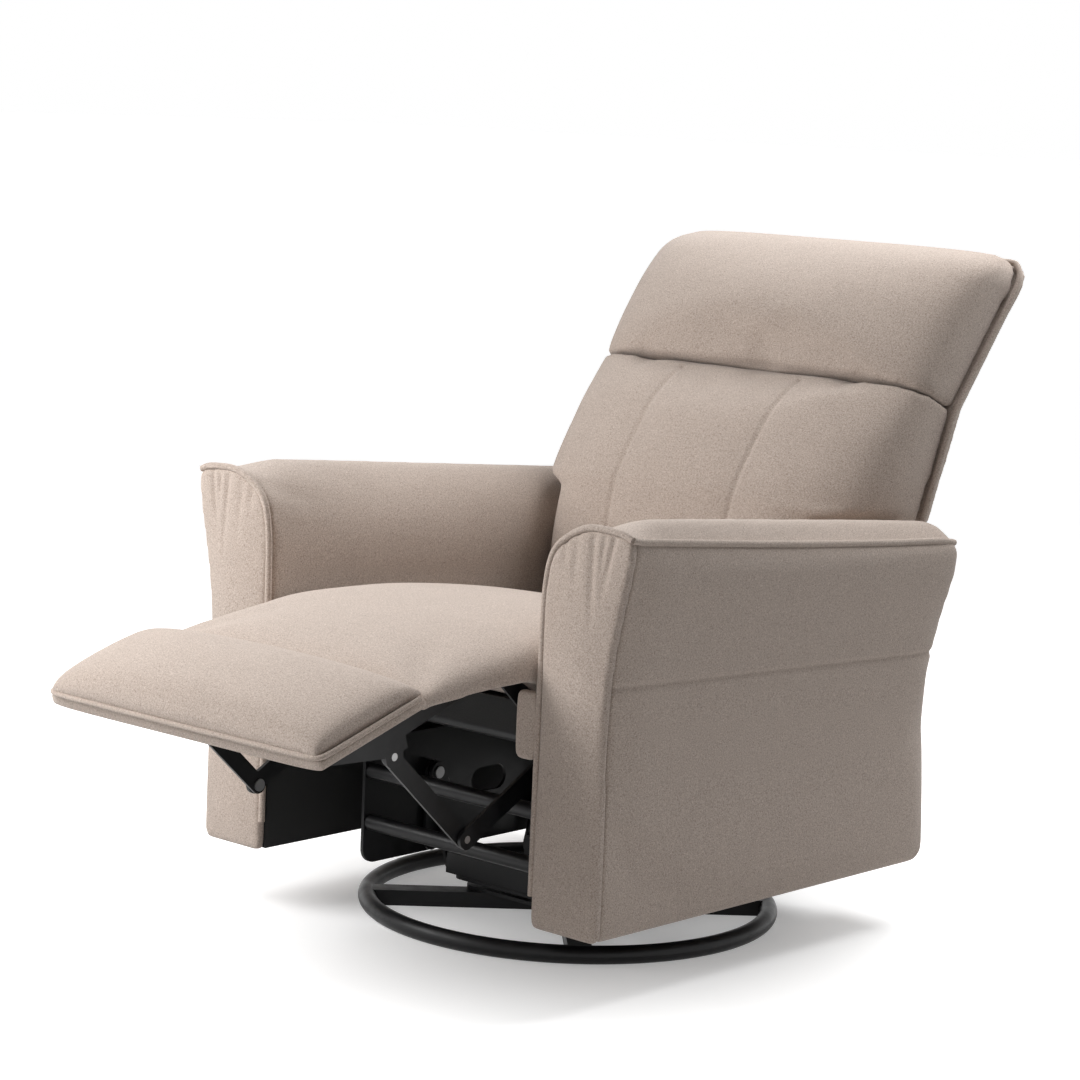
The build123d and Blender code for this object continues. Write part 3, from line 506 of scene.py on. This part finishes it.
def seat_pad():
    """Seat and bridge in one pad."""
    rings = [[(x, y, h) for x, h in pad_ring(PAD_HALF - SEAT_MARGIN, base, edge, crown)]
             for y, base, edge, crown in through(SEAT_ROWS, 90)]
    pad = remesh(skin("seat_pad", rings), PAD_VOXEL)

    def pinned(co):
        ends = (co[:, 1] > SEAT_PIN_REAR_Y) | (co[:, 1] < SEAT_PIN_FRONT_Y)
        return (normals(pad.data)[:, 2] < -0.5) | ends

    def limit(co):
        co[:, 0] = np.clip(co[:, 0], -PAD_HALF - SEAT_SIDE_PLAY, PAD_HALF + SEAT_SIDE_PLAY)

    refine(inflate(pad, PAD_CAP, pinned, limit))
    upholster(pad, None, "seat_cushion", "bridge_pad", fill=0.75)
    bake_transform(pad)


# Leg rest


def on_board(x, along, up):
    """Point in the foot board's own directions, from its lower rear edge."""
    c, s = math.cos(BOARD_SLOPE), math.sin(BOARD_SLOPE)
    return (x, BOARD_REAR.y - along * c - up * s, BOARD_REAR.z - along * s + up * c)


FOOT_ROWS = [  # along, edge, crown
    (-0.004, 0.005, 0.001), (0.010, 0.020, 0.007), (0.034, 0.030, 0.011), (0.080, 0.034, 0.013),
    (0.135, 0.033, 0.012), (0.167, 0.027, 0.008), (0.183, 0.013, 0.002)]


def foot_rest():
    """Foot pad, its covered board and the piping between them."""
    half = PAD_HALF - 0.003
    rings = [[on_board(x, along, BOARD_THICK + h) for x, h in pad_ring(half, 0.0, edge, crown, belly=0.002)]
             for along, edge, crown in through(FOOT_ROWS, 60)]
    pad = remesh(skin("foot_rest_pad", rings), FOOT_VOXEL)
    base_normal = Vector(on_board(0, 0, 1)) - Vector(on_board(0, 0, 0))

    def pinned(co):
        return normals(pad.data) @ np.array(base_normal) < -0.4

    refine(inflate(pad, PAD_CAP, pinned))
    upholster(pad, "leg_rest", "foot_pad", fill=0.75)
    cover = []
    for along in BOARD_STATIONS:
        tight = BOARD_END_TIGHT if along in (BOARD_STATIONS[0], BOARD_STATIONS[-1]) else 0.0
        middle = BOARD_THICK / 2
        ring = pad_ring(PAD_HALF - tight, middle, BOARD_THICK - tight, 0, 6.0, middle - tight)
        cover.append([on_board(x, along, h) for x, h in ring])
    board = skin("foot_rest_board_cover", cover)
    refine(board, 1)
    upholster(board, "leg_rest", "foot_board")
    edge = PAD_HALF + 0.001
    corner = ((0.0, 0.01), (0.0, 0.10), (0.0, 0.170), (0.004, 0.181), (0.03, 0.184))  # inward, along
    line = [on_board(-edge + inward, along, BOARD_THICK) for inward, along in corner]
    line += [(-x, y, z) for x, y, z in reversed(line)]
    upholster(piping("foot_rest_piping", line, BOARD_PIPING), "leg_rest")


# Arms


def arm_top(y):
    """Height of the arm's outer top edge."""
    share = (y - PANEL_FRONT_Y) / (ARM_REAR_Y - PANEL_FRONT_Y)
    return ARM_TOP_FRONT + share * (ARM_TOP_REAR - ARM_TOP_FRONT)


def arm_outline(y, inset=0.0):
    """Arm section from the inner foot up, over the crown to the lip, and down to the outer foot."""
    top = arm_top(y)
    crown = FRONT_CROWN + (ARM_CROWN - FRONT_CROWN) * float(step(y, PANEL_REAR_Y, PANEL_REAR_Y + 0.09))
    inner, outer, lip = ARM_X, ARM_X + ARM_WIDTH, ARM_LIP_X
    rows = [(inner, ARM_FOOT_Z + 0.01), (inner, 0.20), (inner, 0.33), (inner + 0.001, top - 0.13),
            (inner + 0.003, top - 0.072), (inner + 0.012, top - 0.032),
            (inner + 0.032, top - 0.016 + 0.7 * crown), (inner + 0.066, top + 0.85 * crown),
            (inner + 0.102, top + crown), (lip - 0.010, top + 0.003),
            (lip - 0.001, top - 0.010), (lip - 0.006, top - 0.050), (outer + 0.016, top - 0.095),
            (outer + 0.006, top - 0.150), (outer + 0.001, top - 0.220), (outer, 0.25),
            (outer, ARM_FOOT_Z + 0.01)]
    line = through(rows, 96)
    middle = np.array([(inner + outer) / 2 + 0.010, (top + ARM_FOOT_Z) / 2])
    shrink = 1 - inset / np.maximum(np.abs(line - middle).max(axis=1), 0.04)
    return middle + (line - middle) * shrink[:, None]


def arm_ring(y, inset):
    """Closed ring of the arm at one depth, with a flat foot."""
    line = arm_outline(y, inset)
    across = line[0, 0] - line[-1, 0]
    foot = [(line[-1, 0] + s * across, ARM_FOOT_Z + inset) for s in (0.05, 0.35, 0.65, 0.95)]
    return [(x, y, z) for x, z in [*line, *foot]]


def side_seam_z(y):
    """Height of the level seam on the arm's outer side."""
    share = (y - PANEL_FRONT_Y) / (ARM_REAR_Y - PANEL_FRONT_Y)
    return SIDE_SEAM_FRONT_Z + share * (SIDE_SEAM_REAR_Z - SIDE_SEAM_FRONT_Z)


def arm_pad():
    """Padded arm behind its front panel, with a rounded rear end and the seam of its outer side."""
    end_y = ARM_REAR_Y - ARM_END
    depths = [PANEL_REAR_Y, PANEL_REAR_Y + 0.004, *np.linspace(PANEL_REAR_Y + 0.02, end_y, 40)]
    insets = [ARM_INSET] * len(depths)
    for turn in np.radians((22, 45, 68, 90)):
        depths.append(end_y + ARM_END_DEPTH * math.sin(turn))
        insets.append(ARM_INSET + ARM_END_INSET * (1 - math.cos(turn)))
    pad = remesh(skin("arm_pad_cover_left", [arm_ring(y, i) for y, i in zip(depths, insets)]), ARM_VOXEL)

    def pinned(co):
        on_inner = (co[:, 0] < ARM_X + 0.012) & (co[:, 2] < arm_top(co[:, 1]) - 0.13)
        return on_inner | (co[:, 2] < ARM_FOOT_Z + 0.01) | (co[:, 1] < PANEL_REAR_Y + 0.004)

    def limit(co):
        co[:, 0] = np.clip(co[:, 0], ARM_X + 0.0005, ARM_LIP_X + 0.004)

    refine(inflate(pad, ARM_CAP, pinned, limit, ARM_PRESSURE))
    sink(pad, lambda co: co[:, 2] - side_seam_z(co[:, 1]), SEAM_DEPTH, SEAM_WIDTH,
         lambda co: step(co[:, 0], ARM_X + ARM_WIDTH - 0.02, ARM_X + ARM_WIDTH))
    return pad


GATHERS = [  # x, width, lean, depth, length
    (0.283, 0.0050, 0.06, 0.0018, 0.075), (0.304, 0.0060, 0.02, 0.0014, 0.120),
    (0.331, 0.0052, 0.03, 0.0026, 0.150), (0.349, 0.0040, -0.05, 0.0022, 0.090),
    (0.366, 0.0046, -0.20, 0.0030, 0.110)]


def front_panel():
    """Front panel with gathers under its top edge."""
    rings = []
    for share, inset in ((0, 0.008), (0.15, 0.003), (0.5, 0.002), (0.8, 0.003), (1, 0.008)):
        y = PANEL_REAR_Y + 0.001 + share * (PANEL_FRONT_Y - PANEL_REAR_Y)
        rings.append([(x, y, z) for x, _, z in arm_ring(PANEL_FRONT_Y, inset)])
    panel = remesh(skin("arm_front_cover_left", rings), FRONT_VOXEL)

    def pinned(co):
        return co[:, 1] > PANEL_REAR_Y - 0.004

    def limit(co):
        co[:, 0] = np.maximum(co[:, 0], ARM_X - 0.001)

    refine(inflate(panel, FRONT_CAP, pinned, limit, FRONT_PRESSURE))
    co = coordinates(panel.data)
    x, z = co[:, 0], co[:, 2]
    front = step(-co[:, 1], -PANEL_REAR_Y, -PANEL_FRONT_Y)
    hang = ARM_TOP_FRONT + 0.008 - z
    folds = np.zeros(len(co))
    for middle, width, lean, depth, length in GATHERS:
        fade = step(hang, 0.0, 0.014) * (1 - step(hang, 0.3 * length, length))
        folds += fade * depth * np.exp(-(((x - middle - lean * hang) / width) ** 2))
    co[:, 1] += folds * front
    set_coordinates(panel.data, co)
    return panel


def arm_piping(pad):
    """Piping round the front panel's inner and top edge, and back along the outer top edge."""
    front_line = arm_outline(PANEL_FRONT_Y)[:58]
    y = PANEL_FRONT_Y + 0.005
    rim = [(x, y, z) for x, z in front_line[2::3]]
    corner = rim[-1]
    edge = [(ARM_LIP_X - 0.001, depth, arm_top(depth) + 0.002)
            for depth in np.linspace(PANEL_REAR_Y + 0.01, ARM_REAR_Y - 0.004, 22)]
    return rim, [corner, *snap(pad, edge, 0.4 * PIPING)]


def arms():
    """Both arms: covers, fillers and piping, made on the left and mirrored."""
    pad, panel = arm_pad(), front_panel()
    rim, edge = arm_piping(pad)
    rim_piping, edge_piping = piping("arm_rim_piping_left", rim), piping("arm_edge_piping_left", edge)
    filler_low, filler_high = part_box("inner_filler_left")
    rings = []
    for share, inset in ((0, 0.006), (0.2, 0.001), (0.8, 0.001), (1, 0.006)):
        y = filler_low.y + share * (filler_high.y - filler_low.y)
        half = (filler_high.x - filler_low.x) / 2 - inset
        ring = pad_ring(half, filler_low.z + 0.046, filler_high.z - inset, 0, 5.0, 0.046 - inset, 40)
        rings.append([((filler_low.x + filler_high.x) / 2 + x, y, h) for x, h in ring])
    filler = refine(remesh(skin("arm_filler_left", rings), FILLER_VOXEL), 2)
    made = {"arm_pad_cover": (pad, "arm_pad", 0.7), "arm_front_cover": (panel, "arm_front_panel", 0.6),
            "arm_filler": (filler, "inner_filler", 0.6), "arm_rim_piping": (rim_piping, None, None),
            "arm_edge_piping": (edge_piping, None, None)}
    for name, (left, node, fill) in made.items():
        right = mirrored(left, name + "_right")
        right.data.shade_smooth()
        for obj, side in ((left, "left"), (right, "right")):
            upholster(obj, "chair", *([f"{node}_{side}"] if node else []), fill=fill)


# Back


def rear_y(z):
    """Depth of the back's rear face at a height."""
    low, high = (REAR_FOOT, REAR_BEND) if z < REAR_BEND[1] else (REAR_BEND, REAR_TOP)
    return low[0] + (z - low[1]) * (high[0] - low[0]) / (high[1] - low[1])


def back_half(z, wing_from=PAD_WING_FROM_Z, wing_rise=PAD_WING_RISE):
    """Half width of the back at a rear height: narrow between the arms, wide above, rounded at the top."""
    into_corner = min(max(z - BACK_TOP_Z + BACK_CORNER, 0), BACK_CORNER)
    rounding = BACK_CORNER - math.sqrt(BACK_CORNER**2 - into_corner**2)
    wing = BACK_WING * float(step(z, wing_from, wing_from + wing_rise))
    flare = BACK_FLARE * max(z - wing_from, 0) / (BACK_TOP_Z - wing_from)
    return BACK_NARROW + wing + flare - rounding


def back_ring(z_rear, front_y, front_z, crown, margin):
    """Ring of a back pad, from its panel forward."""
    rear = np.array([rear_y(z_rear) - BACK_PANEL_THICK, z_rear])
    reach = np.array([front_y, front_z]) - rear
    depth = np.linalg.norm(reach)
    unit = reach / depth
    half = back_half(z_rear) - margin
    wide = float(step(z_rear, PAD_WING_FROM_Z, PAD_WING_FROM_Z + PAD_WING_RISE))
    boxy = NARROW_POWER - (NARROW_POWER - WIDE_POWER) * wide
    ring = pad_ring(half, 0.0, depth, crown, boxy, 0.0005, 80)
    return [(x, *(rear + unit * h)) for x, h in ring]


BACK_ROWS = [  # rear z, front y, front z, crown
    (0.345, 0.194, 0.388, 0.004), (0.430, 0.180, 0.455, 0.016), (0.545, 0.199, 0.573, 0.020),
    (0.650, 0.259, 0.666, 0.018), (0.695, 0.312, 0.728, 0.014), (0.714, 0.338, 0.755, 0.010)]
HEAD_ROWS = [  # rear z, front y, front z, crown
    (0.715, 0.340, 0.757, 0.010), (0.735, 0.348, 0.780, 0.013), (0.785, 0.376, 0.824, 0.016),
    (0.850, 0.422, 0.878, 0.016), (0.900, 0.480, 0.920, 0.010), (0.918, 0.548, 0.935, 0.003)]


def back_cover(name, rows, node, smooth):
    """Back or head pad, kept on its own side of the head seam."""
    rings = [back_ring(z, y, h, crown, BACK_MARGIN) for z, y, h, crown in through(rows, 110)]
    pad = remesh(skin(name, rings), PAD_VOXEL)
    heights = np.linspace(0.3, 0.95, 200)
    depths = np.array([rear_y(z) for z in heights])

    def pinned(co):
        behind = np.interp(co[:, 2], heights, depths) - BACK_PANEL_THICK - co[:, 1]
        return behind < BACK_PIN_DEPTH

    seam = np.array(HEAD_SEAM_FRONT) - np.array(HEAD_SEAM_REAR)
    above = np.array((-seam[1], seam[0])) / -np.linalg.norm(seam)
    sign = -1 if node == "back_cushion" else 1

    def limit(co):
        past = HEAD_SEAM_GAP - sign * ((co[:, 1:] - np.array(HEAD_SEAM_REAR)) @ above)
        co[:, 1:] += sign * np.maximum(past, 0)[:, None] * above

    refine(inflate(pad, PAD_CAP, pinned, limit), smooth)
    if node == "back_cushion":
        for side in (-1, 1):
            for depth, width in CHANNEL_DENTS:
                sink(pad, lambda co, s=side: co[:, 0] - s * CHANNEL_X, depth, width,
                     lambda co: step(-normals(pad.data)[:, 1], 0.25, 0.6))
    return upholster(pad, "back", node, fill=0.8)


def back_panel():
    """Rear panel of the back with soft edges."""
    rings = []
    heights = np.linspace(BACK_LOW.z, BACK_HIGH.z, 120)
    for i, z in enumerate(heights):
        end = min(i, len(heights) - 1 - i)
        inset = (0.010, 0.004, 0.001)[end] if end < 3 else 0.0
        half = back_half(z, PANEL_WING_FROM_Z, PANEL_WING_RISE) + PANEL_MARGIN - inset
        rear = rear_y(z)
        middle = BACK_PANEL_THICK / 2
        ring = pad_ring(half, -middle, REAR_PUFF - inset, 0.006, 6.0, middle - inset, 64)
        rings.append([(x, rear + h, z) for x, h in ring])
    panel = refine(remesh(skin("back_rear_panel", rings), PANEL_VOXEL), 3)
    return upholster(panel, "back", "back_panel")


def back_piping():
    """Piping up both rear edges of the back and across its top."""
    heights = [*np.linspace(PANEL_WING_FROM_Z + PANEL_WING_RISE, BACK_TOP_Z - BACK_CORNER, 14)]
    heights += [BACK_TOP_Z - BACK_CORNER * (1 - math.sin(turn)) for turn in np.radians((20, 40, 58, 74))]
    line = [(back_half(z, PANEL_WING_FROM_Z, PANEL_WING_RISE) + PANEL_MARGIN, rear_y(z) - BACK_PANEL_THICK, z)
            for z in heights]
    line += [(-x, y, z) for x, y, z in reversed(line)]
    upholster(piping("back_edge_piping", line), "back")


def rear_board():
    """Cover over the board between the arms at the rear, black as painted shade behind the seat."""
    low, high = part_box("rear_panel")
    rings = []
    for share, inset in ((0, 0.004), (0.25, 0.0), (0.75, 0.0), (1, 0.004)):
        y = low.y + share * (high.y - low.y)
        middle = (low.z + high.z) / 2
        ring = pad_ring(high.x - 0.0005 - inset, middle, high.z - inset, 0, 14.0, middle - low.z - inset, 60)
        rings.append([(x, y, h) for x, h in ring])
    cover = refine(remesh(skin("rear_board_cover", rings), PANEL_VOXEL), 2)
    # black here is painted shade that stands for the dark hollow under the back
    cover.data.materials.append(LINER_AND_SHADE_BLACK)
    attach(cover, "chair")
    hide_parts("rear_panel")


# Stage


def add_camera():
    """Camera that sees the chair as the photograph does."""
    az, el, roll = (math.radians(a) for a in (CAMERA_AZIMUTH, CAMERA_ELEVATION, CAMERA_ROLL))
    back = Vector((math.sin(az) * math.cos(el), -math.cos(az) * math.cos(el), math.sin(el)))
    right = Vector((math.cos(az), math.sin(az), 0))
    up = back.cross(right)
    turned_right = right * math.cos(roll) + up * math.sin(roll)
    turned_up = up * math.cos(roll) - right * math.sin(roll)
    data = bpy.data.cameras.new("camera")
    data.lens, data.sensor_width = CAMERA_LENS, CAMERA_SENSOR
    camera = link_object("camera", data)
    turn = Matrix((turned_right, turned_up, back)).transposed().to_4x4()
    camera.matrix_world = Matrix.Translation(CAMERA_PLACE) @ turn
    bpy.context.scene.camera = camera


def add_lamp(name, place, target, size, watts):
    """Square soft lamp that faces a target."""
    data = bpy.data.lights.new(name, "AREA")
    data.shape, data.size, data.energy = "SQUARE", size, watts
    lamp = link_object(name, data)
    lamp.location = place
    lamp.rotation_euler = (Vector(target) - Vector(place)).to_track_quat("-Z", "Y").to_euler()


def camera_white(nodes, links):
    """1 for camera, glossy and transmission rays."""
    path = nodes.new("ShaderNodeLightPath")
    total = nodes.new("ShaderNodeMath")
    total.operation = "MAXIMUM"
    links.new(path.outputs["Is Camera Ray"], total.inputs[0])
    links.new(path.outputs["Is Glossy Ray"], total.inputs[1])
    both = nodes.new("ShaderNodeMath")
    both.operation = "MAXIMUM"
    links.new(total.outputs["Value"], both.inputs[0])
    links.new(path.outputs["Is Transmission Ray"], both.inputs[1])
    return both.outputs["Value"]


FLOOR = 60.0  # half width
WORLD_LIGHT = 0.18
GLOW_RADIUS, GLOW_STRENGTH = (0.30, 0.72), (0.30, 0.80)  # floor's own light, under the chair and around
LAMPS = [  # name, place, target, size, watts
    ("key", (-1.0, -1.5, 1.35), (0, -0.3, 0.4), 1.1, 38),
    ("fill", (2.8, -3.0, 1.6), (0, 0, 0.4), 2.5, 3),
    ("top", (0.3, 1.3, 2.3), (0, -0.3, 0.4), 1.5, 58)]


def add_stage():
    """White surroundings, pale floor and studio lamps."""
    world = bpy.data.worlds.new("studio")
    bpy.context.scene.world = world
    world.use_nodes = True
    nodes, links = world.node_tree.nodes, world.node_tree.links
    strength = nodes.new("ShaderNodeMapRange")
    strength.inputs["To Min"].default_value, strength.inputs["To Max"].default_value = WORLD_LIGHT, 1.0
    links.new(camera_white(nodes, links), strength.inputs["Value"])
    links.new(strength.outputs["Result"], nodes["Background"].inputs["Strength"])
    nodes["Background"].inputs["Color"].default_value = (1, 1, 1, 1)
    mesh = bpy.data.meshes.new("floor")
    corners = [(-FLOOR, -FLOOR, 0), (FLOOR, -FLOOR, 0), (FLOOR, FLOOR, 0), (-FLOOR, FLOOR, 0)]
    mesh.from_pydata(corners, [], [(0, 1, 2, 3)])
    floor = link_object("floor", mesh)
    material, nodes, links, main = shader("floor")
    main.inputs["Base Color"].default_value = (0.80, 0.80, 0.80, 1)
    main.inputs["Roughness"].default_value = 0.9
    main.inputs["Emission Color"].default_value = (1, 1, 1, 1)
    glow = nodes.new("ShaderNodeMath")
    glow.operation = "MULTIPLY"
    links.new(camera_white(nodes, links), glow.inputs[0])
    place = nodes.new("ShaderNodeTexCoord")
    far = nodes.new("ShaderNodeVectorMath")
    far.operation = "LENGTH"
    links.new(place.outputs["Object"], far.inputs[0])
    spread = nodes.new("ShaderNodeMapRange")
    spread.inputs["From Min"].default_value, spread.inputs["From Max"].default_value = GLOW_RADIUS
    spread.inputs["To Min"].default_value, spread.inputs["To Max"].default_value = GLOW_STRENGTH
    links.new(far.outputs["Value"], spread.inputs["Value"])
    links.new(spread.outputs["Result"], glow.inputs[1])
    links.new(glow.outputs["Value"], main.inputs["Emission Strength"])
    mesh.materials.append(material)
    for lamp in LAMPS:
        add_lamp(*lamp)


dress_frame()
seat_pad()
foot_rest()
arms()
back_cover("back_pad", BACK_ROWS, "back_cushion", 10)
back_cover("head_pad", HEAD_ROWS, "head_cushion", 12)
back_panel()
back_piping()
rear_board()
add_camera()
add_stage()
bpy.context.scene.view_settings.view_transform = "Standard"
